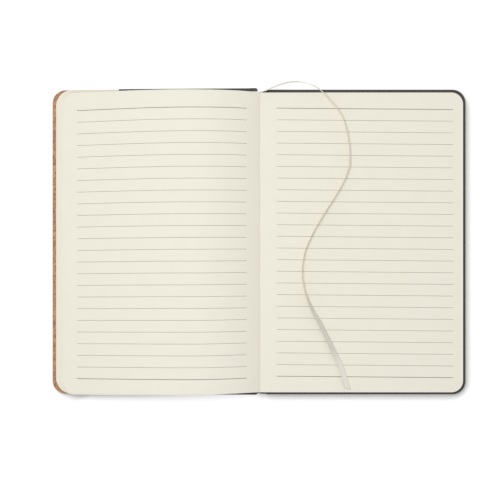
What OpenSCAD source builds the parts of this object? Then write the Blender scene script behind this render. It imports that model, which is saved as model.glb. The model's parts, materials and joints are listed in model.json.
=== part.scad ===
// Ruled hard-cover notebook lying open: a thin pile of leaves turned to the left, the rest on the right
// Lengths are in millimetres, X runs across the spread, Y along the spine and Z up from the table

/* [Leaves] */
// Width of a leaf from the binding to its fore-edge
leaf_w = 141; // [120:1:190]
// Height of a leaf
leaf_h = 205.4; // [160:0.2:260]
// Radius of a leaf's outer corners
leaf_corner_r = 8; // [2:0.5:16]
// Thickness of the leaves that lie on the right
right_pile = 4.8; // [4:0.2:16]
// Thickness of the leaves turned to the left
left_pile = 1.6; // [0.8:0.1:4]
// How far the top of the turned leaves' bow stands above the right page
bow_h = 17.2; // [10:0.2:24]
// Distance of the top of that bow from the binding
bow_at = 45; // [36:1:56]
// How far the turned leaves sit out of line with the covers, towards the tail
turned_drop = 1.3; // [0:0.1:1.5]
// How far the right-hand leaves sit out of line with the covers, towards the tail
block_drop = 0.6; // [0:0.1:1.5]

/* [Cover] */
// Thickness of the cover boards
board_t = 1.9; // [1:0.1:4]
// Thickness of the cloth and cork on the faces and the fore-edge
skin_t = 0.6; // [0.4:0.1:1.2]
// Thickness of the folded cloth hem along head and tail
hem_t = 1.1; // [0.4:0.1:1.6]
// Thickness of the pastedown paper
paste_t = 0.2; // [0.1:0.05:0.5]
// How far the cover stands past the leaves at the fore-edge
fore_square = 2; // [1:0.1:5]
// How far the cover stands past the leaves at head and tail
head_square = 2.3; // [1.8:0.1:5]
// Radius of the cover's outer corners
cover_corner_r = 9; // [3:0.5:18]
// Width of the bare cloth joint between the hinge line and a board
joint_w = 5.6; // [3:0.2:9]
// Width of the cloth turned in over the board's inner face
turn_in = 15; // [8:1:25]
// Bare turned-in margin left around the back pastedown, and at the fore-edge of the front one
paste_margin = 2.6; // [1.5:0.1:5]
// Bare turned-in margin left at head and tail of the front pastedown where it lies over the cork
front_paste_margin = 0.5; // [0.2:0.1:2.5]
// How much rounder the front pastedown's outer corners are than the cover's
front_paste_ease = 2; // [0:0.1:3]
// Width of the cork strip along the front cover's fore-edge
cork_w = 46; // [20:1:80]

/* [Spine] */
// Thickness of the lining glued over the leaves' backs
lining_t = 0.4; // [0.2:0.1:0.8]
// Hollow between that lining and the spine card
hollow_t = 0.4; // [0.2:0.1:0.9]
// Thickness of the flexible spine card
card_t = 0.8; // [0.5:0.1:1.5]
// How far the spine's head and tail stop short of the covers'
spine_drop = 1.2; // [0.4:0.1:1.5]
// Distance of the hinge lines from the binding
hinge_in = 0.6; // [0.3:0.1:1.5]

/* [Ribbon] */
// Width of the bookmark ribbon
ribbon_w = 4; // [3:0.5:6]
// Thickness of the ribbon
ribbon_t = 0.4; // [0.3:0.1:0.6]

/* [Hidden] */
$fn = 64;

// Running clearance between pieces that turn against each other
clearance = 0.3;
// Hair gap at the crease, where the turned leaves come closest to the right page
crease_gap = 0.05;
// How far a cutting shape reaches past the faces that it cuts
spare = 1;

// Heights with the notebook closed: outer face of the back cover at 0, leaves, outer face of the front cover
cover_t = skin_t + board_t + paste_t;
page_top = cover_t + right_pile;
leaves_top = page_top + left_pile;
cover_h = leaf_h + 2 * head_square;

// Reach of the covers and boards from their hinge lines
cover_reach = leaf_w + fore_square - hinge_in;
board_reach = cover_reach - skin_t;
board_h = cover_h - 2 * hem_t;
board_corner_r = cover_corner_r - skin_t;
turn_t = skin_t / 2;
cork_from = cover_reach - cork_w;
// Inner corner radius of the turned-in covering
turn_in_r = 1;

// The open front cover leans from its hinge line down to the table, which its fore-edge touches
lean = asin(leaves_top / norm([cover_reach, cover_t])) - atan2(cover_t, cover_reach);

// The origin is the middle of the open covers, on the table
left_end = hinge_in - cover_reach * cos(lean) + paste_t * sin(lean);
right_end = leaf_w + fore_square;
origin_x = (left_end + right_end) / 2;

// The cloth joints start behind the binding, so that they turn clear of the leaves' backs
joint_t = paste_t + skin_t;
joint_from = hinge_in + clearance;

// Stretch of the spine that stays clear of both folding joints
joint_drop = (hinge_in + lining_t + hollow_t + card_t + skin_t) * tan(lean);
spine_bottom = cover_t + joint_t + clearance;
spine_top = leaves_top - joint_t - joint_drop - clearance;
spine_half = cover_h / 2 - spine_drop;
card_x = -lining_t - hollow_t - card_t;

// Bow of the turned leaves: it leaves the crease steeply, crests, and comes down on the board
bow_top = page_top + bow_h;
bow_root = leaves_top + left_pile;
landing = leaf_w - 7;
landing_z = leaves_top - (landing + hinge_in) * tan(lean) + left_pile / cos(lean);
// Pulls of the two curves at the crease, on either side of the crest and at the landing
root_pull = [14, 4.3];
crest_pull = [24.5, 28];
landing_pull = [24, 5.6];
rise_points = [[0, bow_root], [-root_pull[0], bow_root + root_pull[1]],
               [crest_pull[0] - bow_at, bow_top], [-bow_at, bow_top]];
fall_points = [[-bow_at, bow_top], [-bow_at - crest_pull[1], bow_top],
               [landing_pull[0] - landing, landing_z + landing_pull[1]], [-landing, landing_z]];
bow_steps = 14;
// Straight run past the landing, longer than any leaf needs
flat_end = 20;
// Radius and step of the fold at the crease
crease_r = 0.55 * left_pile;
crease_step = 15;

// Bookmark ribbon from the head of the spine, over the head edge and down the right page to the tail edge
// Each entry is [x, y, roll in degrees, lift]: roll 0 lies flat, lift is a share of the right-hand pile
// The route is drawn for a leaf of route_leaf and stretches with the leaf
route_leaf = [141, 205.4];
ribbon_route = [
    [-0.3, 102.25, 90, -0.8], [4.4, 103.4, 80, -0.62], [11.5, 106.2, 70, -0.33], [18, 108.2, 65, -0.15],
    [24.5, 109.2, 66, 0], [31.8, 108.6, 78, 0.09], [38.2, 106.3, 85, 0.09], [42.9, 103.3, 86, 0.045],
    [48.1, 98, 86, 0.015], [54.1, 91, 86, 0], [58.2, 84, 85, 0], [60.7, 76, 81, 0],
    [62.5, 67, 72, 0], [63.2, 58.5, 63, 0], [62.7, 51, 66, 0], [60.1, 44, 79, 0],
    [56.4, 36.8, 86, 0], [51.8, 29.2, 86, 0], [46.8, 21.4, 86, 0], [41.8, 13.2, 86, 0],
    [36.9, 4.4, 86, 0], [32.7, -5, 86, 0], [30.6, -14, 86, 0], [30.2, -22.5, 85, 0],
    [31.5, -31, 79, 0], [34.3, -39.8, 66, 0], [38.1, -48.5, 52, 0], [43.2, -57.4, 41, 0],
    [47.9, -67, 35, 0], [52.7, -77, 32, 0], [57.2, -86.8, 28, 0], [59.9, -96, 22, 0], [62, -102.4, 18, 0]];
ribbon_sides = 8;

// Point on a cubic curve through four control points
function on_curve(p, t) =
    pow(1 - t, 3) * p[0] + 3 * pow(1 - t, 2) * t * p[1] + 3 * (1 - t) * t * t * p[2] + pow(t, 3) * p[3];

// First part of a path, cut off at a given length along it
function cut_path(path, len, i = 0) =
    let (step = norm(path[i + 1] - path[i]))
    step >= len || i == len(path) - 2
        ? [path[i], path[i] + (path[i + 1] - path[i]) * len / step]
        : concat([path[i]], cut_path(path, len - step, i + 1));

// Direction of a path at one of its points
function heading(path, i) =
    let (d = path[min(i + 1, len(path) - 1)] - path[max(i - 1, 0)]) d / norm(d);

// Path moved sideways, to the left of its direction
function beside(path, gap) =
    [for (i = [0 : len(path) - 1]) let (d = heading(path, i)) path[i] + gap * [-d[1], d[0]]];

function backwards(list) = [for (i = [len(list) - 1 : -1 : 0]) list[i]];

// Upper side of the turned leaves past the crease, with a straight end that lies along the board
bow_path = concat(
    [for (i = [0 : bow_steps - 1]) on_curve(rise_points, i / bow_steps)],
    [for (i = [0 : bow_steps]) on_curve(fall_points, i / bow_steps)],
    [[-landing - flat_end * cos(lean), landing_z - flat_end * sin(lean)]]);
crease_path = [for (a = [-90 : crease_step : 90 - crease_step])
    [crease_r * cos(a), leaves_top + (left_pile - (a < 0 ? crease_gap : 0)) * sin(a)]];
upper_side = cut_path(concat(crease_path, bow_path), leaf_w);
lower_side = cut_path(concat([[0, leaves_top]], beside(bow_path, left_pile)), leaf_w);

// Outline of a board or leaf in plan: square at the binding, round corners at the fore-edge
module sheet_outline(from, to, half_h, r) {
    translate([from, -half_h]) square([to - r - from, 2 * half_h]);
    translate([from, r - half_h]) square([to - from, 2 * (half_h - r)]);
    for (side = [-1, 1])
        translate([to - r, side * (half_h - r)]) circle(r);
}

// Flat layer of an outline, between two heights
module layer(low, high) {
    translate([0, 0, low]) linear_extrude(high - low) children();
}

// Closed cover's own frame: X from the hinge line outward, inner face at 0, outer face below it
module in_back_place() {
    translate([hinge_in - origin_x, 0, cover_t]) children();
}

module in_front_place() {
    translate([hinge_in - origin_x, 0, leaves_top])
        rotate([0, -lean, 0]) mirror([1, 0, 0]) children();
}

module in_block_place() {
    translate([-origin_x, 0, 0]) children();
}

// Part of a cover's inner face that the turned-in covering leaves bare
module bare_inner_face() {
    sheet_outline(joint_w - 2 * spare, cover_reach - turn_in, cover_h / 2 - turn_in, turn_in_r);
}

// Board with its inner rim lowered for the turned-in cloth
module board_shape() {
    difference() {
        layer(skin_t - cover_t, -paste_t)
            sheet_outline(joint_w, board_reach, board_h / 2, board_corner_r);
        layer(-paste_t - turn_t, spare) difference() {
            sheet_outline(joint_w - spare, board_reach + spare, board_h / 2 + spare, board_corner_r + spare);
            bare_inner_face();
        }
    }
}

// Covering wrapped round the board: outer face, edges and turn-ins
module wrap_shape(from, to, edge) {
    difference() {
        layer(-cover_t, -paste_t) intersection() {
            sheet_outline(joint_w - skin_t, cover_reach, board_h / 2 + edge, cover_corner_r);
            translate([from, -cover_h]) square([to - from, 2 * cover_h]);
        }
        board_shape();
        layer(-paste_t - turn_t, spare) bare_inner_face();
    }
}

// Bare cloth joint between a board and the hinge line, pressed down to the leaves' level
module joint_strip() {
    layer(-joint_t, -paste_t)
        translate([joint_from, -spine_half]) square([joint_w - joint_from, 2 * spine_half]);
}

// Part of a pastedown that carries on across the joint towards the hinge line
module pastedown_joint() {
    layer(-paste_t, 0)
        translate([joint_from, -leaf_h / 2]) square([joint_w, leaf_h]);
}

// Right-hand leaves, bound along X = 0
module page_block() {
    color("ivory") in_block_place() translate([0, -block_drop, 0]) layer(cover_t, page_top)
        sheet_outline(0, leaf_w, leaf_h / 2, leaf_corner_r);
}

// Leaves turned to the left, with their fore-edges fanned because every leaf has the same width
module turned_leaves() {
    color("ivory") in_block_place() translate([0, -turned_drop, 0]) intersection() {
        translate([0, leaf_h / 2, 0]) rotate([90, 0, 0]) linear_extrude(leaf_h)
            polygon(concat(upper_side, backwards(lower_side)));
        mirror([1, 0, 0]) layer(0, bow_top + spare)
            sheet_outline(-2 * crease_r, -min([for (p = lower_side) p[0]]), leaf_h / 2, leaf_corner_r);
    }
}

// Lining glued over the backs of the right-hand leaves, clear of both folding joints
module spine_lining() {
    color("whitesmoke") in_block_place()
        translate([-lining_t, -leaf_h / 2 - block_drop, spine_bottom])
            cube([lining_t, leaf_h, page_top - spine_bottom]);
}

// Flexible card behind the spine cloth
module spine_card() {
    color("tan") in_block_place()
        translate([card_x, skin_t - spine_half, spine_bottom])
            cube([card_t, 2 * (spine_half - skin_t), spine_top - spine_bottom]);
}

// Cloth over the outside of the spine card, turned in at head and tail
module spine_cloth() {
    color("#4a4845") in_block_place() difference() {
        translate([card_x - skin_t, -spine_half, spine_bottom])
            cube([card_t + skin_t, 2 * spine_half, spine_top - spine_bottom]);
        translate([card_x, skin_t - spine_half, spine_bottom - spare])
            cube([card_t + spare, 2 * (spine_half - skin_t), spine_top - spine_bottom + 2 * spare]);
    }
}

// Centre of the ribbon at one entry of its route
function ribbon_centre(p) =
    [p[0] * leaf_w / route_leaf[0], p[1] * leaf_h / route_leaf[1],
     page_top + ribbon_t / 2 + ribbon_w / 2 * sin(p[2]) + p[3] * right_pile];

// Ring of corners round the ribbon's centre line, wide across and thin through
function ribbon_ring(centre, ahead, roll) =
    let (side = cross(ahead, [0, 0, 1]) / norm(cross(ahead, [0, 0, 1])),
         up = cross(side, ahead),
         across = cos(roll) * side + sin(roll) * up,
         through = cos(roll) * up - sin(roll) * side)
    [for (k = [0 : ribbon_sides - 1])
        let (a = 360 * (k + 0.5) / ribbon_sides)
        centre + ribbon_w / 2 * cos(a) / cos(180 / ribbon_sides) * across
               + ribbon_t / 2 * sin(a) / cos(180 / ribbon_sides) * through];

// Satin bookmark ribbon
module ribbon() {
    centres = [for (p = ribbon_route) ribbon_centre(p)];
    last = len(centres) - 1;
    rings = [for (i = [0 : last]) ribbon_ring(centres[i], heading(centres, i), ribbon_route[i][2])];
    sides = [for (i = [0 : last - 1], k = [0 : ribbon_sides - 1])
        let (next = (k + 1) % ribbon_sides, a = i * ribbon_sides, b = a + ribbon_sides)
        each [[a + k, b + k, b + next], [a + k, b + next, a + next]]];
    start_cap = [for (k = [0 : ribbon_sides - 1]) k];
    end_cap = [for (k = [ribbon_sides - 1 : -1 : 0]) last * ribbon_sides + k];
    color("gainsboro") in_block_place()
        polyhedron(points = [for (ring = rings) each ring], faces = concat(sides, [start_cap, end_cap]));
}

module front_board() {
    color("burlywood") in_front_place() board_shape();
}

// Dark cloth over the spine side of the front cover, with its joint
module front_cloth() {
    color("#4a4845") in_front_place() {
        wrap_shape(joint_w - skin_t, cork_from, hem_t);
        joint_strip();
    }
}

// Cork over the fore-edge side of the front cover
module front_cork() {
    color("#b48a68") in_front_place() wrap_shape(cork_from, cover_reach, skin_t);
}

// Front pastedown, taller over the cork than over the cloth
module front_pastedown() {
    color("ivory") in_front_place() {
        layer(-paste_t, 0) {
            intersection() {
                sheet_outline(joint_w, cover_reach - paste_margin, cover_h / 2 - front_paste_margin,
                              cover_corner_r + front_paste_ease);
                translate([cork_from, -cover_h]) square([cork_w, 2 * cover_h]);
            }
            translate([joint_w, paste_margin - cover_h / 2])
                square([cork_from + spare - joint_w, cover_h - 2 * paste_margin]);
        }
        pastedown_joint();
    }
}

module back_board() {
    color("burlywood") in_back_place() board_shape();
}

// Dark cloth over the whole back cover, with its joint
module back_cloth() {
    color("#4a4845") in_back_place() {
        wrap_shape(joint_w - skin_t, cover_reach, hem_t);
        joint_strip();
    }
}

module back_pastedown() {
    color("ivory") in_back_place() {
        layer(-paste_t, 0)
            sheet_outline(joint_w, cover_reach - paste_margin, cover_h / 2 - paste_margin,
                          cover_corner_r - paste_margin / 2);
        pastedown_joint();
    }
}

page_block();
turned_leaves();
spine_lining();
spine_card();
spine_cloth();
ribbon();
front_board();
front_cloth();
front_cork();
front_pastedown();
back_board();
back_cloth();
back_pastedown();
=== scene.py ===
"""An open ruled notebook: ruled leaves, cork and cloth covers, woven ribbon and a pale stage."""

import json
import math

import bmesh
import bpy
from mathutils import Matrix, Vector


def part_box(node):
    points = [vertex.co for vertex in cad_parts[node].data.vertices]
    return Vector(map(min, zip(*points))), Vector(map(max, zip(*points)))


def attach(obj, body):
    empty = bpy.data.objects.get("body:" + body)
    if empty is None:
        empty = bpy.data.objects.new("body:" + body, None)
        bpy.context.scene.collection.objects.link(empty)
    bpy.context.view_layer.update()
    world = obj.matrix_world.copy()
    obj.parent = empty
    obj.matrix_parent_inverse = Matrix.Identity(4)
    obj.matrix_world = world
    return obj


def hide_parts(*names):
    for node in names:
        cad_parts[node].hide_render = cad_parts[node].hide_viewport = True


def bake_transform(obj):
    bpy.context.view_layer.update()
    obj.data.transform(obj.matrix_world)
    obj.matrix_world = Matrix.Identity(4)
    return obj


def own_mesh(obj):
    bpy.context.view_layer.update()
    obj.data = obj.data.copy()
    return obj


bl_info = {
    "name": "Ruled Notebook",
    "version": (1, 0, 0),
    "blender": (4, 5, 0),
    "location": "3D View > Sidebar > Notebook",
    "description": "Leaves, covers, ribbon and stage for an open ruled notebook",
    "category": "Object",
}

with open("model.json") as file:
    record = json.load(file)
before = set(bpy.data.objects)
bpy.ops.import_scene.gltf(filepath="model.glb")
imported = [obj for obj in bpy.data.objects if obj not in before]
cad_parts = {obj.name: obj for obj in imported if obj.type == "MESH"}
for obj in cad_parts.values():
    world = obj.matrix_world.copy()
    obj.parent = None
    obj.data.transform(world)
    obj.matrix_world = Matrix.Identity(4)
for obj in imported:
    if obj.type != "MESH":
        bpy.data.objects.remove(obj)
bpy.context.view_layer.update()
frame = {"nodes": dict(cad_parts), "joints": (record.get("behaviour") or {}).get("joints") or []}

MM = 0.001
# A length that counts as none
TINY = 1e-6
PAGES_LOW, PAGES_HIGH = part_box("page_block")
TURNED_LOW, TURNED_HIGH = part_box("turned_leaves")
SPINE_LOW, SPINE_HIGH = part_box("spine_cloth")
BACK_LOW, BACK_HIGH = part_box("back_cloth")
BOARD_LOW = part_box("back_board")[0]
CORK_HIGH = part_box("front_cork")[1]
PASTE_LOW, PASTE_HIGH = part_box("back_pastedown")
JOINTS = {joint["name"]: joint for joint in frame["joints"]}
FRONT_HINGE = Vector(JOINTS["front_hinge"]["pos_m"])
BACK_HINGE = Vector(JOINTS["back_hinge"]["pos_m"])

BINDING = PAGES_LOW.x
PAGE_TOP = PAGES_HIGH.z
LEAF_WIDTH = PAGES_HIGH.x - PAGES_LOW.x
LEAF_HALF = (PAGES_HIGH.y - PAGES_LOW.y) / 2
PAGES_MIDDLE = (PAGES_HIGH.y + PAGES_LOW.y) / 2
TURNED_MIDDLE = (TURNED_HIGH.y + TURNED_LOW.y) / 2
LEAN = math.radians(JOINTS["front_hinge"]["range_deg"][1] - 180)
REACH = BACK_HIGH.x - BACK_HINGE.x
COVER_DEPTH = BACK_HINGE.z - BACK_LOW.z
PASTE_DEPTH = PASTE_HIGH.z - PASTE_LOW.z
JOINT_FROM = BACK_LOW.x - BACK_HINGE.x
BOARD_FROM = BOARD_LOW.x - BACK_HINGE.x
UP = Vector((0, 0, 1))


def tint(red, green, blue):
    """A colour as a screen shows it, 0 to 255, in the linear values that a shader takes."""
    return tuple(
        v / 12.92 if v <= 0.04045 else ((v + 0.055) / 1.055) ** 2.4
        for v in (red / 255, green / 255, blue / 255)
    )


# Sizes and colours that a user would change


class PaperSettings(bpy.types.PropertyGroup):
    corner_radius: bpy.props.FloatProperty(
        name="Corner Radius", description="Radius of a leaf's outer corners",
        default=8 * MM, min=0.001, max=0.02, unit="LENGTH")
    turned_leaves: bpy.props.IntProperty(
        name="Turned Leaves", description="Number of leaves turned to the left",
        default=16, min=4, max=40)
    stacked_layers: bpy.props.IntProperty(
        name="Stacked Layers", description="Number of thin layers in the right-hand pile",
        default=33, min=8, max=80)
    line_pitch: bpy.props.FloatProperty(
        name="Line Pitch", description="Distance from one ruled line to the next",
        default=7.99 * MM, min=0.004, max=0.012, unit="LENGTH")
    line_count: bpy.props.IntProperty(
        name="Lines", description="Number of ruled lines on a page",
        default=24, min=8, max=40)
    head_margin: bpy.props.FloatProperty(
        name="Head Margin", description="Distance from a leaf's head to its first line",
        default=10.9 * MM, min=0.004, max=0.03, unit="LENGTH")
    skew: bpy.props.FloatProperty(
        name="Skew", description="Most that a leaf under the top one slants, as a share of its width",
        default=0.0074, min=0, max=0.012)
    gutter_depth: bpy.props.FloatProperty(
        name="Gutter Depth", description="How far the right-hand leaves dip towards the binding",
        default=0.2 * MM, min=0, max=0.0015, unit="LENGTH")
    paper: bpy.props.FloatVectorProperty(
        name="Paper", description="Colour of the leaves", subtype="COLOR",
        default=tint(239, 235, 221), min=0, max=1)
    ink: bpy.props.FloatVectorProperty(
        name="Ink", description="Colour of the ruled lines", subtype="COLOR",
        default=tint(100, 100, 98), min=0, max=1)


class CoverSettings(bpy.types.PropertyGroup):
    corner_radius: bpy.props.FloatProperty(
        name="Corner Radius", description="Radius of the covers' outer corners",
        default=9 * MM, min=0.002, max=0.02, unit="LENGTH")
    edge_radius: bpy.props.FloatProperty(
        name="Edge Radius", description="Rounding of the covering where it wraps the board's edge",
        default=0.75 * MM, min=0.0002, max=0.0012, unit="LENGTH")
    turn_in: bpy.props.FloatProperty(
        name="Turn-In", description="Width of the covering turned over the board's inner face",
        default=15 * MM, min=0.006, max=0.03, unit="LENGTH")
    cork_width: bpy.props.FloatProperty(
        name="Cork Width", description="Width of the cork strip along the front cover's fore-edge",
        default=46 * MM, min=0.02, max=0.08, unit="LENGTH")
    cloth: bpy.props.FloatVectorProperty(
        name="Cloth", description="Colour of the dark book cloth", subtype="COLOR",
        default=tint(80, 78, 75), min=0, max=1)
    cork: bpy.props.FloatVectorProperty(
        name="Cork", description="Main colour of the cork", subtype="COLOR",
        default=tint(188, 143, 112), min=0, max=1)
    endpaper: bpy.props.FloatVectorProperty(
        name="Endpaper", description="Colour of the pastedowns", subtype="COLOR",
        default=tint(238, 232, 214), min=0, max=1)


class RibbonSettings(bpy.types.PropertyGroup):
    width: bpy.props.FloatProperty(
        name="Width", description="Width of the bookmark ribbon",
        default=4 * MM, min=0.003, max=0.006, unit="LENGTH")
    thickness: bpy.props.FloatProperty(
        name="Thickness", description="Thickness of the bookmark ribbon",
        default=0.4 * MM, min=0.0003, max=0.0006, unit="LENGTH")
    colour: bpy.props.FloatVectorProperty(
        name="Colour", description="Colour of the satin ribbon", subtype="COLOR",
        default=tint(229, 225, 213), min=0, max=1)
    # The ribbon's painted shade: the share of its colour that it keeps on the stretch that lies flat
    worn: bpy.props.FloatVectorProperty(
        name="Painted_Shade", description="Share of its colour that the ribbon keeps where it is handled",
        subtype="COLOR", default=(0.83, 0.83, 0.83), min=0, max=1)


class StageSettings(bpy.types.PropertyGroup):
    ambient: bpy.props.FloatProperty(
        name="Ambient", description="Share of the light that comes from all around",
        default=0.6, min=0.1, max=1)
    key: bpy.props.FloatProperty(
        name="Key", description="Share of the light that comes from the upper left",
        default=0.42, min=0, max=1)
    glow: bpy.props.FloatProperty(
        name="Glow", description="Share of the floor's white that doesn't depend on the lamp",
        default=0.6, min=0, max=1)
    # How far the shadow painted into the floor's glow reaches
    shadow_reach: bpy.props.FloatProperty(
        name="Shadow Reach", description="How far the soft shadow spreads over the white floor",
        default=8 * MM, min=0.001, max=0.1, unit="LENGTH")
    camera_height: bpy.props.FloatProperty(
        name="Camera Height", description="Height of the camera above the table",
        default=1.002, min=0.3, max=3, unit="LENGTH")


# Shader maths


class Value:
    """A shader socket that Python expressions can use."""

    def __init__(self, nodes, socket):
        self.nodes = nodes
        self.socket = socket

    def maths(self, operation, *others):
        return self.nodes.add("ShaderNodeMath", {"operation": operation}, self, *others)

    def __add__(self, other):
        return self.maths("ADD", other)

    __radd__ = __add__

    def __sub__(self, other):
        return self.maths("SUBTRACT", other)

    def __rsub__(self, other):
        return self.nodes.add("ShaderNodeMath", {"operation": "SUBTRACT"}, other, self)

    def __mul__(self, other):
        return self.maths("MULTIPLY", other)

    __rmul__ = __mul__

    def __truediv__(self, other):
        return self.maths("DIVIDE", other)

    def __rtruediv__(self, other):
        return self.nodes.add("ShaderNodeMath", {"operation": "DIVIDE"}, other, self)

    def __abs__(self):
        return self.maths("ABSOLUTE")

    def __gt__(self, other):
        return self.maths("GREATER_THAN", other)

    def __lt__(self, other):
        return self.maths("LESS_THAN", other)

    def wave(self, pitch):
        """Sine with a crest at every pitch."""
        return (self * (2 * math.pi / pitch)).maths("SINE")


class Nodes:
    """Builds the nodes of one material, or of a world."""

    def __init__(self, name, owners=None):
        self.owner = (bpy.data.materials if owners is None else owners).new(name)
        self.owner.use_nodes = True
        self.tree = self.owner.node_tree
        self.tree.nodes.clear()

    def add(self, kind, settings=None, *sockets, out=0, **named):
        """Makes a node of a type from its settings and its sockets' values or links."""
        node = self.tree.nodes.new(kind)
        for key, value in (settings or {}).items():
            if key == "stops":
                ramp = node.color_ramp
                while len(ramp.elements) < len(value):
                    ramp.elements.new(1)
                for element, (place, colour) in zip(ramp.elements, value):
                    element.position = place
                    element.color = (*colour, 1)
            else:
                setattr(node, key, value)
        for index, value in enumerate(sockets):
            self.feed(node.inputs[index], value)
        for key, value in named.items():
            wanted = key.replace("_", " ")
            socket = next(s for s in node.inputs if s.name == wanted and s.enabled)
            self.feed(socket, value)
        return Value(self, node.outputs[out]) if node.outputs else None

    def feed(self, socket, value):
        if isinstance(value, Value):
            self.tree.links.new(value.socket, socket)
        elif hasattr(value, "__len__") and len(value) == 3 and len(socket.default_value) == 4:
            socket.default_value = (*value, 1)
        else:
            socket.default_value = value

    def place(self):
        """Object coordinates, in metres."""
        return self.add("ShaderNodeTexCoord", out=3)

    def flat(self):
        """The piece's own UV map, in metres along and across."""
        return self.add("ShaderNodeTexCoord", out=2)

    def parts(self, vector):
        """The X, Y and Z of a vector."""
        node = self.add("ShaderNodeSeparateXYZ", None, vector).socket.node
        return [Value(self, socket) for socket in node.outputs]

    def stretch(self, vector, scale):
        """A vector scaled along each axis, for a pattern that runs one way."""
        return self.add("ShaderNodeMapping", None, Vector=vector, Scale=scale)

    def noise(self, vector, scale, detail=2.0, roughness=0.5):
        return self.add("ShaderNodeTexNoise", None, Vector=vector, Scale=scale,
                        Detail=detail, Roughness=roughness)

    def smooth(self, value, low, high):
        """0 below low, 1 above high, smooth between them."""
        return self.add("ShaderNodeMapRange", {"interpolation_type": "SMOOTHSTEP"},
                        Value=value, From_Min=low, From_Max=high)

    def mix(self, factor, first, second, way="MIX"):
        return self.add("ShaderNodeMix", {"data_type": "RGBA", "blend_type": way}, out=2,
                        Factor=factor, A=first, B=second)

    def bump(self, height, strength, distance):
        return self.add("ShaderNodeBump", None, Height=height, Strength=strength, Distance=distance)

    def surface(self, colour, roughness, normal, **uniform):
        """Principled surface: colour, roughness and normal may vary, the rest are plain numbers."""
        return self.end(self.add("ShaderNodeBsdfPrincipled", None, Base_Color=colour,
                                 Roughness=roughness, Normal=normal, **uniform))

    def end(self, shader, output="ShaderNodeOutputMaterial"):
        """Feeds the finished shader to the output."""
        self.add(output, None, shader)
        return self.owner


def shade(colour, factor):
    """The same colour, lighter or darker."""
    return tuple(min(1.0, c * factor) for c in colour[:3])


# Finishes


# Distances from thread to thread in the book cloth and the gauze, and from rib to rib in the ribbon
WARP_PITCH = 0.42 * MM
WEFT_PITCH = 0.46 * MM
GAUZE_PITCH = 1.1 * MM
RIB_PITCH = 0.32 * MM
# Half the width of a ruled line, what a heavy line has more, and the softness of its edges
LINE_HALF = 0.11 * MM
HEAVY_MORE = 0.09 * MM
LINE_BLUR = 0.04 * MM


def paper_finish(name, settings, on_leaf, first_line, line_from, line_to, slope):
    """Cream writing paper with fibres and ruled lines, of which the first and last are heavier."""
    n = Nodes(name)
    place = n.place()
    across, up, _ = n.parts(n.flat() if on_leaf else place)
    if not on_leaf:
        across = across - BINDING
    level = (first_line - up - across * slope) / settings.line_pitch
    nearest = level.maths("ROUND")
    away = abs(level - nearest) * settings.line_pitch
    middle = (settings.line_count - 1) / 2
    outer = abs(nearest - middle) > middle - 0.5
    half_width = LINE_HALF + outer * HEAVY_MORE
    line = 1 - n.smooth(away - half_width, -LINE_BLUR, LINE_BLUR)
    inside = n.smooth(across, line_from, line_from + 0.0001) * (
        1 - n.smooth(across, line_to - 0.0001, line_to))
    counted = (nearest > -0.5) * (nearest < settings.line_count - 0.5)
    mottle = n.noise(place, 90, 3)
    fibres = n.noise(n.stretch(place, (1, 3.2, 1)), 1400, 3)
    cream = n.mix(mottle, shade(settings.paper, 0.975), shade(settings.paper, 1.02))
    cream = n.mix(n.smooth(fibres, 0.66, 0.8) * 0.16, cream, shade(settings.paper, 0.86))
    if not on_leaf:
        # Painted shade: dark streaks between the leaves on the pile's upright sides
        seam = n.noise(n.stretch(place, (40, 40, 9000)), 1, 2)
        edge = abs(n.parts(n.add("ShaderNodeNewGeometry", out=1))[2])
        cream = n.mix((1 - n.smooth(edge, 0.3, 0.8)) * seam * 0.55, cream, shade(settings.paper, 0.62))
    colour = n.mix(line * inside * counted * 0.92, cream, tuple(settings.ink))
    normal = n.bump(fibres + mottle * 0.6, 0.25, 0.00004)
    return n.surface(colour, 0.82, normal, Specular_IOR_Level=0.25)


def endpaper_finish(settings):
    """Plain endpaper, a little warmer than the leaves."""
    n = Nodes("endpaper")
    place = n.place()
    mottle = n.noise(place, 120, 3)
    fibres = n.noise(place, 1500, 3)
    colour = n.mix(mottle, shade(settings.endpaper, 0.96), shade(settings.endpaper, 1.02))
    colour = n.mix(n.smooth(fibres, 0.64, 0.78) * 0.2, colour, shade(settings.endpaper, 0.82))
    return n.surface(colour, 0.8, n.bump(fibres, 0.3, 0.00004), Specular_IOR_Level=0.25)


def cloth_finish(settings):
    """Plain-woven book cloth with uneven threads."""
    n = Nodes("bookcloth")
    place = n.place()
    x, y, z = n.parts(place)
    wander = n.noise(place, 260, 2) - 0.5
    warp = (x + z + wander * 0.00025).wave(WARP_PITCH)
    weft = (y + z + wander * 0.00025).wave(WEFT_PITCH)
    over = (warp * weft) > 0
    thread = over * abs(warp) + (1 - over) * abs(weft)
    slub = n.noise(n.stretch(place, (1, 9, 1)), 240, 3)
    cloudy = n.noise(place, 45, 3)
    lint = n.smooth(n.noise(place, 1900, 2), 0.7, 0.8)
    base = n.mix(thread, shade(settings.cloth, 0.62), shade(settings.cloth, 1.22))
    base = n.mix(slub * 0.5, base, shade(settings.cloth, 1.32))
    base = n.mix(cloudy * 0.3, base, shade(settings.cloth, 0.8))
    base = n.mix(lint * 0.25, base, tint(150, 146, 140))
    normal = n.bump(thread + slub * 0.5, 0.55, 0.00012)
    return n.surface(base, 0.78 + slub * 0.15, normal, Specular_IOR_Level=0.3,
                     Sheen_Weight=0.12, Sheen_Roughness=0.5)


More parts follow.
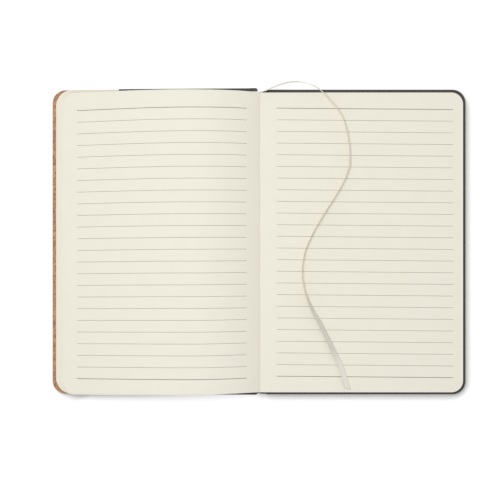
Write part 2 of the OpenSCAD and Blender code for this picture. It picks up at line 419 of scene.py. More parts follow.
def cork_finish(settings):
    """Thin cut cork: pressed grains of mixed browns, dark pits and pale flecks."""
    n = Nodes("cork")
    place = n.place()
    bend = n.add("ShaderNodeVectorMath", {"operation": "SCALE"},
                 n.add("ShaderNodeTexNoise", None, Vector=place, Scale=700.0, Detail=2.0, out=1),
                 Scale=0.0009)
    moved = n.add("ShaderNodeVectorMath", {"operation": "ADD"}, place, bend)
    grains = n.add("ShaderNodeTexVoronoi", None, Vector=moved, Scale=620.0, out=1)
    grain = n.parts(grains)[0]
    walls = n.add("ShaderNodeTexVoronoi", {"feature": "DISTANCE_TO_EDGE"}, Vector=moved, Scale=620.0)
    fine = n.add("ShaderNodeTexVoronoi", None, Vector=moved, Scale=1500.0, out=1)
    speck = n.parts(fine)[1]
    shading = n.add("ShaderNodeValToRGB", {"stops": [
        (0.0, shade(settings.cork, 0.62)), (0.3, shade(settings.cork, 0.85)),
        (0.62, shade(settings.cork, 1.08)), (1.0, shade(settings.cork, 1.42))]}, grain)
    cloudy = n.noise(place, 160, 3)
    colour = n.mix(cloudy * 0.5, shading, shade(settings.cork, 1.1))
    wall = 1 - n.smooth(walls, 0.02, 0.14)
    colour = n.mix(wall * 0.45, colour, shade(settings.cork, 0.5))
    pit = n.smooth(speck, 0.86, 0.93)
    colour = n.mix(pit * 0.8, colour, tint(112, 80, 60))
    pale = 1 - n.smooth(speck, 0.07, 0.13)
    colour = n.mix(pale * 0.55, colour, tint(212, 178, 142))
    normal = n.bump(grain * 0.5 - pit - wall * 0.7, 0.6, 0.00018)
    return n.surface(colour, 0.7 + grain * 0.2, normal, Specular_IOR_Level=0.3)


def greyboard_finish():
    """Binder's greyboard with recycled fibres and fine layers along its cut edges."""
    n = Nodes("greyboard")
    place = n.place()
    fibres = n.noise(n.stretch(place, (1, 4, 1)), 700, 4)
    layers = n.noise(n.stretch(place, (30, 30, 5000)), 1, 2)
    colour = n.mix(fibres, tint(146, 134, 118), tint(176, 166, 150))
    colour = n.mix(layers * 0.25, colour, tint(120, 108, 94))
    return n.surface(colour, 0.9, n.bump(fibres + layers * 0.4, 0.4, 0.00008), Specular_IOR_Level=0.2)


def card_finish():
    """Brown spine card with long fibres."""
    n = Nodes("spine_card_finish")
    place = n.place()
    fibres = n.noise(n.stretch(place, (6, 1, 6)), 500, 4)
    colour = n.mix(fibres, tint(150, 126, 96), tint(188, 164, 130))
    return n.surface(colour, 0.88, n.bump(fibres, 0.35, 0.00006), Specular_IOR_Level=0.2)


def lining_finish():
    """Open gauze glued over the leaves' backs, with glue between its threads."""
    n = Nodes("gauze_lining")
    x, y, z = n.parts(n.place())
    warp = abs(y.wave(GAUZE_PITCH))
    weft = abs((z + x).wave(GAUZE_PITCH))
    thread = warp.maths("MAXIMUM", weft)
    threads = n.smooth(thread, 0.86, 0.98)
    glue = n.noise(n.place(), 300, 3)
    colour = n.mix(threads, n.mix(glue, tint(214, 204, 178), tint(228, 220, 198)), tint(242, 240, 232))
    return n.surface(colour, 0.62 + threads * 0.25, n.bump(threads, 0.5, 0.0001), Specular_IOR_Level=0.3)


# Where the ribbon's stretch of painted shade, where it lies flat over the page, fades in and out along the
# ribbon
PAINTED_SHADE_FROM = (184 * MM, 210 * MM)
PAINTED_SHADE_TO = (240 * MM, 254 * MM)


def satin_finish(settings):
    """Woven satin: fine ribs across it, long floats along it, denser edges, and painted shade on the
    stretch that lies flat.
    """
    n = Nodes("satin_ribbon")
    along, across, _ = n.parts(n.flat())
    ribs = along.wave(RIB_PITCH)
    floats = n.noise(n.stretch(n.flat(), (1, 22, 1)), 420, 3)
    edge = n.smooth(abs(across), settings.width * 0.39, settings.width * 0.43)
    colour = n.mix(floats, shade(settings.colour, 0.98), shade(settings.colour, 1.15))
    colour = n.mix((ribs + 1) * 0.06, colour, shade(settings.colour, 0.86))
    colour = n.mix(edge * 0.3, colour, shade(settings.colour, 0.88))
    # Painted shade: the stretch lying flat is darkened to stand for satin's duller sheen there
    shaded = n.smooth(along, *PAINTED_SHADE_FROM) * (1 - n.smooth(along, *PAINTED_SHADE_TO))
    colour = n.mix(shaded, colour, shade(settings.worn, 1), "MULTIPLY")
    normal = n.bump(ribs * (0.25 + edge * 0.6) + floats, 0.35, 0.00005)
    return n.surface(colour, 0.42 + edge * 0.2 + floats * 0.12, normal, Specular_IOR_Level=0.45,
                     Sheen_Weight=0.2, Sheen_Roughness=0.35)


# Mesh building


def bevel(bm, parts, radius, steps, kind="EDGES", **more):
    """Rounds edges or corners."""
    bmesh.ops.bevel(bm, geom=parts, offset=radius, segments=steps, profile=0.5,
                    affect=kind, material=-1, **more)


def face_outward(bm):
    """Turns a closed mesh's faces outward; a bent one can come out of the recalculation inside out."""
    bmesh.ops.recalc_face_normals(bm, faces=bm.faces)
    if bm.calc_volume(signed=True) < 0:
        bmesh.ops.reverse_faces(bm, faces=bm.faces)


def flat_sheet(start, end, tail, head):
    """Flat sheet between two places along X and two along Y."""
    bm = bmesh.new()
    bmesh.ops.create_grid(bm, x_segments=1, y_segments=1, size=0.5)
    bmesh.ops.scale(bm, vec=(end - start, head - tail, 1), verts=bm.verts)
    bmesh.ops.translate(bm, vec=((end + start) / 2, (head + tail) / 2, 0), verts=bm.verts)
    return bm


def solid_block(low, high):
    """Solid block between two corners."""
    bm = bmesh.new()
    bmesh.ops.create_cube(bm, size=1)
    bmesh.ops.scale(bm, vec=high - low, verts=bm.verts)
    bmesh.ops.translate(bm, vec=(low + high) / 2, verts=bm.verts)
    return bm


def straight_strip(steps, across):
    """Strip of length 1 from X = 0, width 1 and thickness 1, to be bent along a path."""
    bm = bmesh.new()
    bmesh.ops.create_grid(bm, x_segments=steps, y_segments=across, size=0.5)
    bmesh.ops.translate(bm, vec=(0.5, 0, 0), verts=bm.verts)
    thicken_flat(bm, 1)
    return bm


def rounded_sheet(start, reach, half, radius, steps=10):
    """Flat sheet in plan, square at the binding, with round corners at its fore-edge."""
    bm = flat_sheet(start, reach, -half, half)
    corners = [v for v in bm.verts if v.co.x > (reach + start) / 2]
    bevel(bm, corners, radius, steps, "VERTICES")
    return bm


def thicken_flat(bm, depth):
    """Makes a flat sheet a slab that reaches down by depth, with its faces outward."""
    made = bmesh.ops.extrude_face_region(bm, geom=bm.faces[:])["geom"]
    bmesh.ops.translate(bm, vec=(0, 0, -depth),
                        verts=[g for g in made if isinstance(g, bmesh.types.BMVert)])
    face_outward(bm)


def cut_across(bm, stations, **cleared):
    """Cuts a mesh square to X at each distance, and clears a side of the cut where asked."""
    for distance in stations:
        bmesh.ops.bisect_plane(bm, geom=bm.verts[:] + bm.edges[:] + bm.faces[:], dist=TINY / 10,
                               plane_co=(distance, 0, 0), plane_no=(1, 0, 0), **cleared)


def round_rims(bm, radius, steps, keep=None):
    """Rounds the edges where a level face meets an upright one."""
    rims = []
    for e in bm.edges:
        if len(e.link_faces) != 2 or (keep and keep(e)):
            continue
        level = [abs(f.normal.z) > 0.9 for f in e.link_faces]
        if level.count(True) == 1:
            rims.append(e)
    bevel(bm, rims, radius, steps, clamp_overlap=True)


def put(bm, matrix):
    """Moves a mesh into place; a mirrored one is turned the right way out again."""
    bmesh.ops.transform(bm, matrix=matrix, verts=bm.verts)
    if matrix.determinant() < 0:
        bmesh.ops.reverse_faces(bm, faces=bm.faces)


def map_flat(bm):
    """Writes the flat place of each corner to the UV map, in metres."""
    layer = bm.loops.layers.uv.new("flat")
    for face in bm.faces:
        for loop in face.loops:
            loop[layer].uv = loop.vert.co.xy


def to_piece(bm, name, finish, body, stands_for=(), sharp=0.7):
    """Makes a piece from a mesh, shaded smooth up to its sharp edges, and lets it ride on a body."""
    for face in bm.faces:
        face.smooth = True
    for edge in bm.edges:
        if len(edge.link_faces) == 2 and edge.calc_face_angle(0) > sharp:
            edge.smooth = False
    mesh = bpy.data.meshes.new(name)
    bm.to_mesh(mesh)
    bm.free()
    mesh.materials.append(finish)
    piece = bpy.data.objects.new(name, mesh)
    bpy.context.scene.collection.objects.link(piece)
    if body:
        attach(piece, body)
    if stands_for:
        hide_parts(*stands_for)
    return piece


def merge_into(target, bm):
    """Adds one mesh to another."""
    mesh = bpy.data.meshes.new("part")
    bm.to_mesh(mesh)
    bm.free()
    target.from_mesh(mesh)
    bpy.data.meshes.remove(mesh)


def front_place():
    """From a closed cover's own frame, X outward and inner face at 0, to the open front cover."""
    return (Matrix.Translation(FRONT_HINGE) @ Matrix.Rotation(-LEAN, 4, "Y")
            @ Matrix.Diagonal((-1, 1, 1, 1)))


def back_place():
    """From a closed cover's own frame to the back cover."""
    return Matrix.Translation(BACK_HINGE)


# Curves


def ease(t):
    """0 to 1 with a smooth start and end, and 1 from there on."""
    t = min(t, 1)
    return t * t * (3 - 2 * t)


def cubic(points, t):
    """Point of a cubic curve at t, 0 to 1."""
    a, b, c, d = (Vector(p) for p in points)
    return (1 - t) ** 3 * a + 3 * (1 - t) ** 2 * t * b + 3 * (1 - t) * t * t * c + t ** 3 * d


def heading(path, i):
    """Direction of a path at its point i."""
    return (path[min(i + 1, len(path) - 1)] - path[max(i - 1, 0)]).normalized()


def beside(path, gap):
    """Path moved to the left of its direction."""
    return [p + gap * Vector((-heading(path, i).y, heading(path, i).x)) for i, p in enumerate(path)]


class Path:
    """A polyline with a point and a direction at any distance along it."""

    def __init__(self, points):
        self.points = points
        self.lengths = [0.0]
        for a, b in zip(points, points[1:]):
            self.lengths.append(self.lengths[-1] + (b - a).length)

    def at(self, distance):
        i = 0
        while i < len(self.points) - 2 and self.lengths[i + 1] < distance:
            i += 1
        step = self.lengths[i + 1] - self.lengths[i]
        t = (distance - self.lengths[i]) / step
        point = self.points[i].lerp(self.points[i + 1], t)
        direction = heading(self.points, i).lerp(heading(self.points, i + 1), min(max(t, 0), 1))
        return point, direction.normalized()


# Crest of the turned leaves' bow from the binding, and the pulls of the two curves that meet there
BOW_AT = 45 * MM
ROOT_PULL = Vector((-3.2, 3.2)) * MM
CREST_PULL = (25.3 * MM, 28 * MM)
LANDING_PULL = Vector((24, 5.6)) * MM
LANDING_SHORT = 7 * MM
FLAT_END = 20 * MM
BOW_STEPS = 28
# Root of the top turned leaf to the right of the binding and above the right page
ROOT_RIGHT = 1.5 * MM
ROOT_ABOVE = 0.1 * MM
# How much further from the page top the lowest turned leaf's root lies
ROOT_FAN = 1.1 * MM
# Length over which the turned leaves come together after their roots
ROOT_SPREAD = 9 * MM
# Length over which a turned leaf's head drops to the level of its fore-edge
DROP_LENGTH = 50 * MM
# Step of the sine that slants each turned leaf a little differently
FAN_STEP = 2.3
# Share of a leaf's room that its thickness fills at the root and from SWELL_LENGTH on
ROOT_FILL = 0.5
LEAF_FILL = 0.8
SWELL_LENGTH = 8 * MM


def leaf_path(share, leaf_width, gutter):
    """Upper side of one turned leaf, in X from the binding and Z; share is 0 at the board, 1 on top."""
    pile = FRONT_HINGE.z - PAGE_TOP
    hinge_in = FRONT_HINGE.x - BINDING
    reach = leaf_width - LANDING_SHORT
    below = 1 - share
    root = Vector((ROOT_RIGHT * share, PAGE_TOP - gutter + ROOT_ABOVE + (gutter + ROOT_FAN) * below))
    crest = Vector((-BOW_AT, TURNED_HIGH.z))
    sink = (reach + hinge_in) * math.tan(LEAN)
    landing = Vector((-reach, FRONT_HINGE.z - sink + pile / math.cos(LEAN)))
    rise = [root, root + ROOT_PULL, crest + Vector((CREST_PULL[0], 0)), crest]
    fall = [crest, crest - Vector((CREST_PULL[1], 0)), landing + LANDING_PULL, landing]
    bow = [cubic(rise, i / BOW_STEPS) for i in range(BOW_STEPS)]
    bow += [cubic(fall, i / BOW_STEPS) for i in range(BOW_STEPS + 1)]
    bow.append(landing - FLAT_END * Vector((math.cos(LEAN), math.sin(LEAN))))
    lower = beside(bow, below * pile)
    spread = [ease((p - bow[0]).length / ROOT_SPREAD) for p in bow]
    return Path([p.lerp(q, t) for p, q, t in zip(bow, lower, spread)])


# Start and end of the ruled lines from the binding, and how the ruling sits on each page
LEFT_LINES = (11.5 * MM, LEAF_WIDTH - 9 * MM)
LEFT_LINES_LOWER = 0.75 * MM
RIGHT_LINES = (12.7 * MM, LEAF_WIDTH - 7.3 * MM)
RIGHT_LINES_HIGHER = 0.35 * MM
RIGHT_LINES_SLOPE = 0.0085
# How far the visible pile's fore-edge stays inside the solid's, for the layers that stand out
PILE_INSET = 0.5 * MM
# How far a layer stands out at the fore-edge, in two waves, how far it shifts, and the share it fills
LAYER_DRIFT = (0.1 * MM, 0.06 * MM)
LAYER_SHIFT = 0.08 * MM
LAYER_FILL = 0.9
# The places across a layer where it can dip towards the binding, and the length of the dip
DIP_CUTS = [0.8, 1.8, 3, 4.5, 6.5, 9, 12]
DIP_LENGTH = 12 * MM


def leaf_stations(width):
    """Places of the cuts across a leaf, close together at the crease."""
    stations = [s * MM for s in (0.2, 0.4, 0.6, 0.9, 1.2, 1.5, 1.8, 2.2, 2.6, 3, 3.5, 4, 5, 6, 7.2, 8.6,
                                 10, 12, 14)]
    while stations[-1] < width - 12 * MM:
        stations.append(stations[-1] + 3 * MM)
    return stations + [width - 8 * MM, width - 4 * MM]


# Pieces


class NOTEBOOK_OT_turned_leaves(bpy.types.Operator):
    """Make the thin leaves turned to the left, each bowed over the crease and ruled on both sides"""

    bl_idname = "notebook.turned_leaves"
    bl_label = "Turned Leaves"

    def execute(self, context):
        paper = context.scene.notebook_paper
        count = paper.turned_leaves
        pile = FRONT_HINGE.z - PAGE_TOP
        finish = paper_finish("ruled_paper_left", paper, True,
                              LEAF_HALF - paper.head_margin - LEFT_LINES_LOWER, *LEFT_LINES, 0.0)
        for k in range(count):
            share = (k + 0.5) / count
            path = leaf_path(share, LEAF_WIDTH, paper.gutter_depth)
            skew = paper.skew * math.sin(FAN_STEP * (count - 1 - k))
            bm = rounded_sheet(0, LEAF_WIDTH, LEAF_HALF, paper.corner_radius)
            cut_across(bm, leaf_stations(LEAF_WIDTH))
            thicken_flat(bm, 1)
            map_flat(bm)
            for v in bm.verts:
                along = v.co.x
                point, ahead = path.at(along)
                thin = (ROOT_FILL + (LEAF_FILL - ROOT_FILL) * min(along / SWELL_LENGTH, 1)) * pile / count
                low = thin if v.co.z < -0.5 else 0
                drop = PAGES_MIDDLE + (TURNED_MIDDLE - PAGES_MIDDLE) * ease(along / DROP_LENGTH)
                v.co = Vector((BINDING + point.x - ahead.y * low, v.co.y + drop + skew * along,
                               point.y + ahead.x * low))
            face_outward(bm)
            leaf = to_piece(bm, f"turned_leaf_{k + 1:02d}", finish, "front_cover",
                            ["turned_leaves"], sharp=1.2)
            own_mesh(leaf)
        return {"FINISHED"}


class NOTEBOOK_OT_leaf_pile(bpy.types.Operator):
    """Make the right-hand pile of leaves, in thin layers that don't quite line up, ruled on top"""

    bl_idname = "notebook.leaf_pile"
    bl_label = "Leaf Pile"

    def execute(self, context):
        paper = context.scene.notebook_paper
        finish = paper_finish("ruled_paper_right", paper, False,
                              PAGES_MIDDLE + LEAF_HALF - paper.head_margin + RIGHT_LINES_HIGHER,
                              *RIGHT_LINES, RIGHT_LINES_SLOPE)
        count = paper.stacked_layers
        pitch = (PAGES_HIGH.z - PAGES_LOW.z) / count
        pile = bmesh.new()
        for k in range(count):
            drift = LAYER_DRIFT[0] * math.sin(k * 2.4) + LAYER_DRIFT[1] * math.sin(k * 0.9 + 1)
            shift = LAYER_SHIFT * math.sin(k * 1.7 + 0.6)
            bm = rounded_sheet(0, LEAF_WIDTH - PILE_INSET + drift, LEAF_HALF, paper.corner_radius)
            cut_across(bm, [s * MM for s in DIP_CUTS])
            thicken_flat(bm, pitch * LAYER_FILL)
            put(bm, Matrix.Translation((BINDING, PAGES_MIDDLE + shift, PAGES_LOW.z + pitch * (k + 1))))
            for v in bm.verts:
                near = max(0, 1 - (v.co.x - BINDING) / DIP_LENGTH)
                up = (v.co.z - PAGES_LOW.z) / (PAGES_HIGH.z - PAGES_LOW.z)
                v.co.z -= paper.gutter_depth * near ** 2.2 * up
            merge_into(pile, bm)
        to_piece(pile, "leaf_pile", finish, "block", ["page_block"])
        return {"FINISHED"}


# Thicknesses of the covering on the boards and of the bare cloth at the joints
WALL = 0.3 * MM
BARE_CLOTH = 0.6 * MM
# How far the cloth reaches past the board's near edge
LAP = 0.6 * MM
# Reach of the back joint's cloth towards the head and the tail, and how far its corners are cut back
BACK_JOINT_HEAD = 104 * MM
BACK_JOINT_TAIL = 104.6 * MM
BACK_HEAD_NOTCH = 2.2 * MM
BACK_TAIL_NOTCH = 0.3 * MM
BACK_BOARD_NOTCH = 1 * MM
FRONT_JOINT_NOTCH = 0.95 * MM


def wrapped_cover(start, reach, half, settings, notch=0):
    """Covering wrapped over a board's outer face and edges and turned in round its inner face."""
    bm = rounded_sheet(start, reach, half, settings.corner_radius, 12)
    if notch:
        cut_corner(bm, 1, notch)
    thicken_flat(bm, COVER_DEPTH - PASTE_DEPTH)
    bmesh.ops.translate(bm, vec=(0, 0, -PASTE_DEPTH), verts=bm.verts)
    round_rims(bm, settings.edge_radius, 4,
               keep=lambda e: all(v.co.x < start + TINY for v in e.verts))
    face_outward(bm)
    inner = max((f for f in bm.faces if f.normal.z > 0.99), key=lambda f: f.calc_area())
    bmesh.ops.inset_region(bm, faces=[inner], thickness=settings.turn_in, use_even_offset=True)
    bmesh.ops.delete(bm, geom=[inner], context="FACES")
    return bm


def give_wall(bm, wall):
    """Gives an open shell its thickness, inward."""
    before = max(v.co.x for v in bm.verts)
    bmesh.ops.solidify(bm, geom=bm.faces[:], thickness=wall)
    if max(v.co.x for v in bm.verts) > before + wall / 2:
        raise RuntimeError("the covering grew outward")


def cut_corner(bm, side, notch):
    """Cuts back a flat sheet's corner at the binding: side 1 is the head, -1 the tail."""
    corner = max(bm.verts, key=lambda v: v.co.y * side - v.co.x)
    bevel(bm, [corner], notch, 1, "VERTICES")


def joint_cloth(head, tail, head_notch, tail_notch):
    """Bare cloth between a board and the hinge line, with its outer corners cut back."""
    bm = flat_sheet(JOINT_FROM, BOARD_FROM + LAP / 2, -tail, head)
    cut_corner(bm, 1, head_notch)
    cut_corner(bm, -1, tail_notch)
    thicken_flat(bm, BARE_CLOTH)
    bmesh.ops.translate(bm, vec=(0, 0, -PASTE_DEPTH), verts=bm.verts)
    round_rims(bm, BARE_CLOTH / 4, 2)
    return bm


def finish_hidden_pieces(cover):
    """Gives the boards, pastedowns, spine card and lining, which keep their shapes, their finishes."""
    finishes = {
        "front_pastedown": ("endpaper", endpaper_finish(cover)),
        "front_board": ("board", greyboard_finish()),
        "spine_card": ("card", card_finish()),
        "spine_lining": ("lining", lining_finish()),
    }
    finishes["back_pastedown"] = finishes["front_pastedown"]
    finishes["back_board"] = finishes["front_board"]
    for node, (slot, finish) in finishes.items():
        piece = frame["nodes"][node]
        piece.data.materials.clear()
        piece.data.materials.append(finish)


class NOTEBOOK_OT_covers(bpy.types.Operator):
    """Make the cloth and cork coverings and give the boards, pastedowns and spine their finishes"""

    bl_idname = "notebook.covers"
    bl_label = "Covers"

    def execute(self, context):
        cover = context.scene.notebook_cover
        cloth = cloth_finish(cover)
        cork = cork_finish(cover)
        cloth_half = BACK_HIGH.y
        cork_half = CORK_HIGH.y
        seam = REACH - cover.cork_width
        start = BOARD_FROM - LAP

        back = wrapped_cover(start, REACH, cloth_half, cover, BACK_BOARD_NOTCH)
        give_wall(back, WALL)
        merge_into(back, joint_cloth(BACK_JOINT_HEAD, BACK_JOINT_TAIL,
                                     BACK_HEAD_NOTCH, BACK_TAIL_NOTCH))
        put(back, back_place())
        to_piece(back, "back_covering", cloth, "back_cover", ["back_cloth"])

        front = wrapped_cover(start, REACH, cloth_half, cover)
        cut_across(front, [seam], clear_outer=True)
        give_wall(front, WALL)
        merge_into(front, joint_cloth(cloth_half, cloth_half, FRONT_JOINT_NOTCH, FRONT_JOINT_NOTCH))
        put(front, front_place())
        to_piece(front, "front_cloth_covering", cloth, "front_cover", ["front_cloth"])

        strip = wrapped_cover(start, REACH, cork_half, cover)
        cut_across(strip, [seam], clear_inner=True)
        give_wall(strip, WALL)
        put(strip, front_place())
        to_piece(strip, "front_cork_covering", cork, "front_cover", ["front_cork"])

        finish_hidden_pieces(cover)
        return {"FINISHED"}


def bent_strip(path, depth, tail, head, steps):
    """A strip of cloth along the spine whose section follows a path in X and Z."""
    length = path.lengths[-1]
    bm = straight_strip(steps, 8)
    for v in bm.verts:
        point, ahead = path.at(v.co.x * length)
        low = depth if v.co.z < -0.5 else 0
        along = tail + (v.co.y + 0.5) * (head - tail)
        v.co = Vector((point.x - ahead.y * low, along, point.y + ahead.x * low))
    face_outward(bm)
    return bm


# Rounding of a bar's long edges
BAR_ROUND = 0.14 * MM


def cloth_bar(across, half, heights):
    """A narrow bar of cloth along the spine, with rounded long edges."""
    bm = solid_block(Vector((across[0], -half, heights[0])), Vector((across[1], half, heights[1])))
    rims = [e for e in bm.edges if abs(e.verts[0].co.y - e.verts[1].co.y) > half]
    bevel(bm, rims, BAR_ROUND, 3)
    return bm


# Cloth at the front fold: its side stands on the spine, and its top lies in the cover's own frame
SHOULDER_SIDE = (0.05 * MM, 0.5 * MM)
SHOULDER_SIDE_HEIGHTS = (-3.5 * MM, -1 * MM)
SHOULDER_TOP = (0.95 * MM, 5.5 * MM)
SHOULDER_TOP_HEIGHTS = (-0.75 * MM, -0.27 * MM)
# Section of the cloth at the back fold, from the spine's lower edge, and its ends at tail and head
BACK_FOLD = [(0, 0.1), (-0.02, -0.6), (0.15, -1.3), (0.7, -1.85), (1.6, -2.1), (2.6, -2.12)]
BACK_FOLD_DROP = 2.1 * MM
BACK_FOLD_ENDS = (-104.4 * MM, 103 * MM)
BACK_FOLD_DEPTH = 0.45 * MM
BACK_FOLD_STEPS = 20
# Rounding of the spine cloth's outer edges, its thickness, and how much shorter the front fold is
SPINE_ROUND = 0.5 * MM
SPINE_WALL = 0.55 * MM
SIDE_SHORT = 0.5 * MM
TOP_SHORT = 0.2 * MM


class NOTEBOOK_OT_spine(bpy.types.Operator):
    """Make the spine's cloth and the cloth that folds where the covers turn"""

    bl_idname = "notebook.spine"
    bl_label = "Spine"

    def execute(self, context):
        cloth = bpy.data.materials["bookcloth"]
        half = SPINE_HIGH.y
        bm = solid_block(SPINE_LOW, SPINE_HIGH)
        ends = [e for e in bm.edges if all(v.co.x < SPINE_LOW.x + TINY for v in e.verts)
                and abs(e.verts[0].co.y - e.verts[1].co.y) < TINY]
        bevel(bm, ends, SPINE_ROUND, 4)
        opened = [f for f in bm.faces if f.normal.x > 0.99 or abs(f.normal.z) > 0.99]
        bmesh.ops.delete(bm, geom=opened, context="FACES")
        bmesh.ops.solidify(bm, geom=bm.faces[:], thickness=SPINE_WALL)
        to_piece(bm, "spine_cloth_wrap", cloth, "block", ["spine_cloth"])

        side = cloth_bar([SPINE_LOW.x + w for w in SHOULDER_SIDE], half - SIDE_SHORT,
                         [FRONT_HINGE.z + w for w in SHOULDER_SIDE_HEIGHTS])
        piece = to_piece(side, "shoulder_side", cloth, "block")
        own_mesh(piece)

        top = cloth_bar(SHOULDER_TOP, half - TOP_SHORT, SHOULDER_TOP_HEIGHTS)
        put(top, front_place())
        piece = to_piece(top, "shoulder_top", cloth, "front_cover")
        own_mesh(piece)

        x = SPINE_LOW.x + SHOULDER_SIDE[0]
        low = SPINE_LOW.z
        level = low - BACK_FOLD_DROP
        down = [Vector((x + a * MM, low + b * MM)) for a, b in BACK_FOLD]
        down.append(Vector((BACK_LOW.x + LAP / 2, level)))
        bend = bent_strip(Path(down), BACK_FOLD_DEPTH, *BACK_FOLD_ENDS, BACK_FOLD_STEPS)
        piece = to_piece(bend, "back_shoulder", cloth, None)
        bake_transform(piece)
        return {"FINISHED"}


# The ribbon's route: X from the binding and Y in millimetres, roll in degrees, lift as a share of the pile
RIBBON_ROUTE = [
    (-0.3, 102.25, 90, -0.8), (4.4, 103.4, 80, -0.62), (11.5, 106.2, 70, -0.33), (18, 108.2, 65, -0.15),
    (24.5, 109.2, 66, 0), (31.8, 108.6, 78, 0.09), (38.2, 106.3, 85, 0.09), (42.9, 103.3, 86, 0.045),
    (48.1, 98, 86, 0.015), (54.1, 91, 86, 0), (58.2, 84, 85, 0), (60.7, 76, 81, 0),
    (62.5, 67, 72, 0), (63.2, 58.5, 63, 0), (62.7, 51, 66, 0), (60.1, 44, 79, 0),
    (56.4, 36.8, 86, 0), (51.8, 29.2, 86, 0), (46.8, 21.4, 86, 0), (41.8, 13.2, 86, 0),
    (36.9, 4.4, 86, 0), (32.7, -5, 86, 0), (30.6, -14, 86, 0), (30.2, -22.5, 85, 0),
    (31.5, -31, 79, 0), (34.3, -39.8, 66, 0), (38.1, -48.5, 52, 0), (43.2, -57.4, 41, 0),
    (47.9, -67, 35, 0), (52.7, -77, 32, 0), (57.2, -86.8, 28, 0), (59.9, -96, 22, 0), (62, -102.4, 18, 0)]

# Steps between two entries of the route, and across the ribbon
ROUTE_STEPS = 4
ACROSS_STEPS = 10
# Steps over which the ribbon's end goes over to its slanting cut, and the slant as a share of the width
CUT_STEPS = 4
CUT_SLANT = 0.8
# Thickness across the ribbon, up to each share of its half width: middle, groove, woven edge and rim
RIBBON_SECTION = ((0.3, 0.7), (0.7, 0.62), (0.9, 1), (1.01, 0.35))


def smooth_route(route, steps):
    """The route with smooth steps between its entries."""
    ends = [route[0], *route, route[-1]]
    made = []
    for a, b, c, d in zip(ends, ends[1:], ends[2:], ends[3:]):
        for s in range(steps):
            t = s / steps
            made.append([
                0.5 * (2 * q + (r - p) * t + (2 * p - 5 * q + 4 * r - w) * t * t
                       + (3 * q - p - 3 * r + w) * t ** 3)
                for p, q, r, w in zip(a, b, c, d)])
    return made + [list(route[-1])]


def ribbon_centre(ribbon, x, y, roll, lift):
    """Centre of the ribbon at one entry of its route, lifted as it rolls over onto its edge."""
    rolled = ribbon.width / 2 * math.sin(math.radians(roll))
    raised = lift * (PAGES_HIGH.z - PAGES_LOW.z)
    return Vector((BINDING + x * MM, y * MM, PAGE_TOP + ribbon.thickness / 2 + rolled + raised))


def woven_depth(share):
    """Thickness of the ribbon at a share of its half width, as a share of its greatest."""
    return next(depth for reach, depth in RIBBON_SECTION if abs(share) <= reach)


class NOTEBOOK_OT_ribbon(bpy.types.Operator):
    """Make the woven bookmark ribbon, from the head of the spine over the right page to its tail edge"""

    bl_idname = "notebook.ribbon"
    bl_label = "Ribbon"

    def execute(self, context):
        ribbon = context.scene.notebook_ribbon
        entries = smooth_route(RIBBON_ROUTE, ROUTE_STEPS)
        centres = [ribbon_centre(ribbon, *entry) for entry in entries]
        last = len(centres) - 1
        lengths = Path(centres).lengths
        bm = straight_strip(last, ACROSS_STEPS)
        layer = bm.loops.layers.uv.new("flat")
        for face in bm.faces:
            for loop in face.loops:
                index = round(loop.vert.co.x * last)
                loop[layer].uv = (lengths[index], loop.vert.co.y * ribbon.width)
        for v in bm.verts:
            index = round(v.co.x * last)
            ahead = heading(centres, index)
            nearly = max(0, index - last + CUT_STEPS) / CUT_STEPS
            cut = nearly * (v.co.y + 0.5) * ribbon.width * CUT_SLANT
            side = ahead.cross(UP).normalized()
            up = side.cross(ahead)
            roll = math.radians(entries[index][2])
            across = math.cos(roll) * side + math.sin(roll) * up
            through = math.cos(roll) * up - math.sin(roll) * side
            share = v.co.y * 2
            lift = (0.5 if v.co.z > -0.5 else -0.5) * woven_depth(share) * ribbon.thickness
            v.co = centres[index] - ahead * cut + across * share * ribbon.width / 2 + through * lift
        face_outward(bm)
        piece = to_piece(bm, "bookmark_ribbon", satin_finish(ribbon), "block", ["ribbon"],
                         sharp=1.6)
        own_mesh(piece)
        return {"FINISHED"}


# Direction from which light reaches the floor beside the notebook
# Direction towards which the floor's openness is measured for its painted shadow, the side from which the
# light seems to come
OPEN_SIDE = (-0.64, 0.64, 0.42)
# Openness between which the floor's painted soft shadow fades, and its darkest glow
PAINTED_SHADOW_RANGE = (0.4, 0.98)
PAINTED_SHADOW_GLOW = 0.2
# Half the floor's width, and how far it lies below the notebook
FLOOR_HALF = 4
FLOOR_DROP = 0.02 * MM
# Strength that keeps the lit, glowing floor white, and the share of the lamp's light that it sends back
WHITE = 1.3
FLOOR_SENDS = 0.9
# Place and width of the lamp
LAMP_AT = Vector((-0.13, 0.1, 0.8))
LAMP_SIZE = 0.5
# Place of the camera over the table, its lens in millimetres and how far its frame is shifted
CAMERA_AT = Vector((-6.2, -52.45)) * MM
CAMERA_LENS = 104.45
FRAME_SHIFT = 0.136


def floor_finish(stage):
    """White floor whose glow is darkened into a painted soft shadow beside the notebook."""
    n = Nodes("pale_floor")
    seen = n.add("ShaderNodeLightPath")
    tilt = n.add("ShaderNodeCombineXYZ", None, *OPEN_SIDE)
    openness = n.add("ShaderNodeAmbientOcclusion", {"samples": 16}, Distance=stage.shadow_reach,
                     Normal=tilt, out=1)
    # Painted shadow: the floor's glow is dimmed where the notebook closes it in from the upper left
    level = n.smooth(openness, *PAINTED_SHADOW_RANGE) * (1 - PAINTED_SHADOW_GLOW) + PAINTED_SHADOW_GLOW
    glow = n.add("ShaderNodeEmission", None, Color=n.mix(level, (0, 0, 0), (1, 1, 1)), Strength=WHITE)
    white = n.add("ShaderNodeBsdfDiffuse", None, Color=[FLOOR_SENDS] * 3)
    return n.end(n.add("ShaderNodeMixShader", None, seen * stage.glow, white, glow))


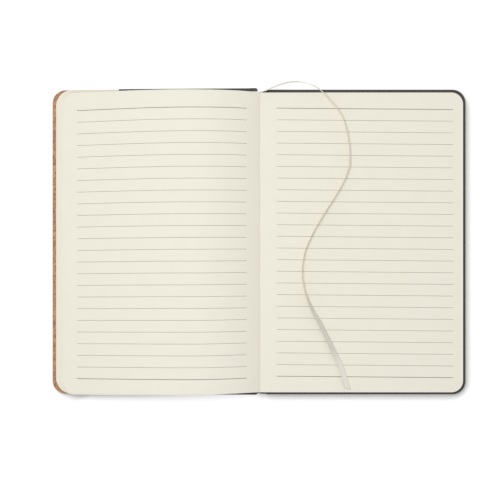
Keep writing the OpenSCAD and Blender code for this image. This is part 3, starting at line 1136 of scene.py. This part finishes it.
def studio_light(stage):
    """Even light from all around, and a white backdrop where the camera sees past the floor."""
    n = Nodes("studio", bpy.data.worlds)
    around = n.add("ShaderNodeBackground", None, Color=(1, 1, 1), Strength=stage.ambient)
    backdrop = n.add("ShaderNodeBackground", None, Color=(1, 1, 1), Strength=1.0)
    seen = n.add("ShaderNodeLightPath")
    return n.end(n.add("ShaderNodeMixShader", None, seen, around, backdrop), "ShaderNodeOutputWorld")


def make_floor(scene, stage):
    bm = bmesh.new()
    bmesh.ops.create_grid(bm, x_segments=1, y_segments=1, size=FLOOR_HALF)
    bmesh.ops.translate(bm, vec=(0, 0, -FLOOR_DROP), verts=bm.verts)
    mesh = bpy.data.meshes.new("floor")
    bm.to_mesh(mesh)
    bm.free()
    mesh.materials.append(floor_finish(stage))
    floor = bpy.data.objects.new("floor", mesh)
    scene.collection.objects.link(floor)


def make_lamp(scene, stage):
    lamp = bpy.data.lights.new("softbox", "AREA")
    lamp.shape = "DISK"
    lamp.size = LAMP_SIZE
    lamp.energy = stage.key * math.pi ** 2 * LAMP_AT.length_squared / LAMP_AT.normalized().z
    softbox = bpy.data.objects.new("softbox", lamp)
    softbox.location = LAMP_AT
    softbox.rotation_euler = LAMP_AT.to_track_quat("Z", "Y").to_euler()
    softbox.visible_camera = False
    scene.collection.objects.link(softbox)


def make_camera(scene, stage):
    camera = bpy.data.cameras.new("camera")
    camera.sensor_width = 36
    camera.lens = CAMERA_LENS
    camera.shift_y = FRAME_SHIFT
    camera.clip_start = 0.05
    camera.clip_end = 20
    eye = bpy.data.objects.new("camera", camera)
    eye.location = (*CAMERA_AT, stage.camera_height)
    scene.collection.objects.link(eye)
    scene.camera = eye


class NOTEBOOK_OT_stage(bpy.types.Operator):
    """Make the pale floor, the soft light and the camera above the open notebook"""

    bl_idname = "notebook.stage"
    bl_label = "Stage"

    def execute(self, context):
        stage = context.scene.notebook_stage
        scene = context.scene
        make_floor(scene, stage)
        scene.world = studio_light(stage)
        make_lamp(scene, stage)
        make_camera(scene, stage)
        scene.view_settings.view_transform = "Standard"
        return {"FINISHED"}


STEPS = (NOTEBOOK_OT_stage, NOTEBOOK_OT_ribbon, NOTEBOOK_OT_leaf_pile, NOTEBOOK_OT_turned_leaves,
         NOTEBOOK_OT_covers, NOTEBOOK_OT_spine)
SETTINGS = {
    "notebook_paper": PaperSettings,
    "notebook_cover": CoverSettings,
    "notebook_ribbon": RibbonSettings,
    "notebook_stage": StageSettings,
}


class NOTEBOOK_PT_panel(bpy.types.Panel):
    """Steps and settings of the ruled notebook"""

    bl_label = "Ruled Notebook"
    bl_idname = "NOTEBOOK_PT_panel"
    bl_space_type = "VIEW_3D"
    bl_region_type = "UI"
    bl_category = "Notebook"

    def draw(self, context):
        for name, group in SETTINGS.items():
            box = self.layout.box()
            for key in group.__annotations__:
                box.prop(getattr(context.scene, name), key)
        for step in STEPS:
            self.layout.operator(step.bl_idname)


CLASSES = (*SETTINGS.values(), *STEPS, NOTEBOOK_PT_panel)


def register():
    for cls in CLASSES:
        bpy.utils.register_class(cls)
    for name, group in SETTINGS.items():
        setattr(bpy.types.Scene, name, bpy.props.PointerProperty(type=group))


def unregister():
    for name in SETTINGS:
        delattr(bpy.types.Scene, name)
    for cls in reversed(CLASSES):
        bpy.utils.unregister_class(cls)


def main():
    register()
    bpy.ops.notebook.stage()
    bpy.ops.notebook.ribbon()
    bpy.ops.notebook.leaf_pile()
    bpy.ops.notebook.turned_leaves()
    bpy.ops.notebook.covers()
    bpy.ops.notebook.spine()
    bpy.context.view_layer.update()


if __name__ == "__main__":
    main()
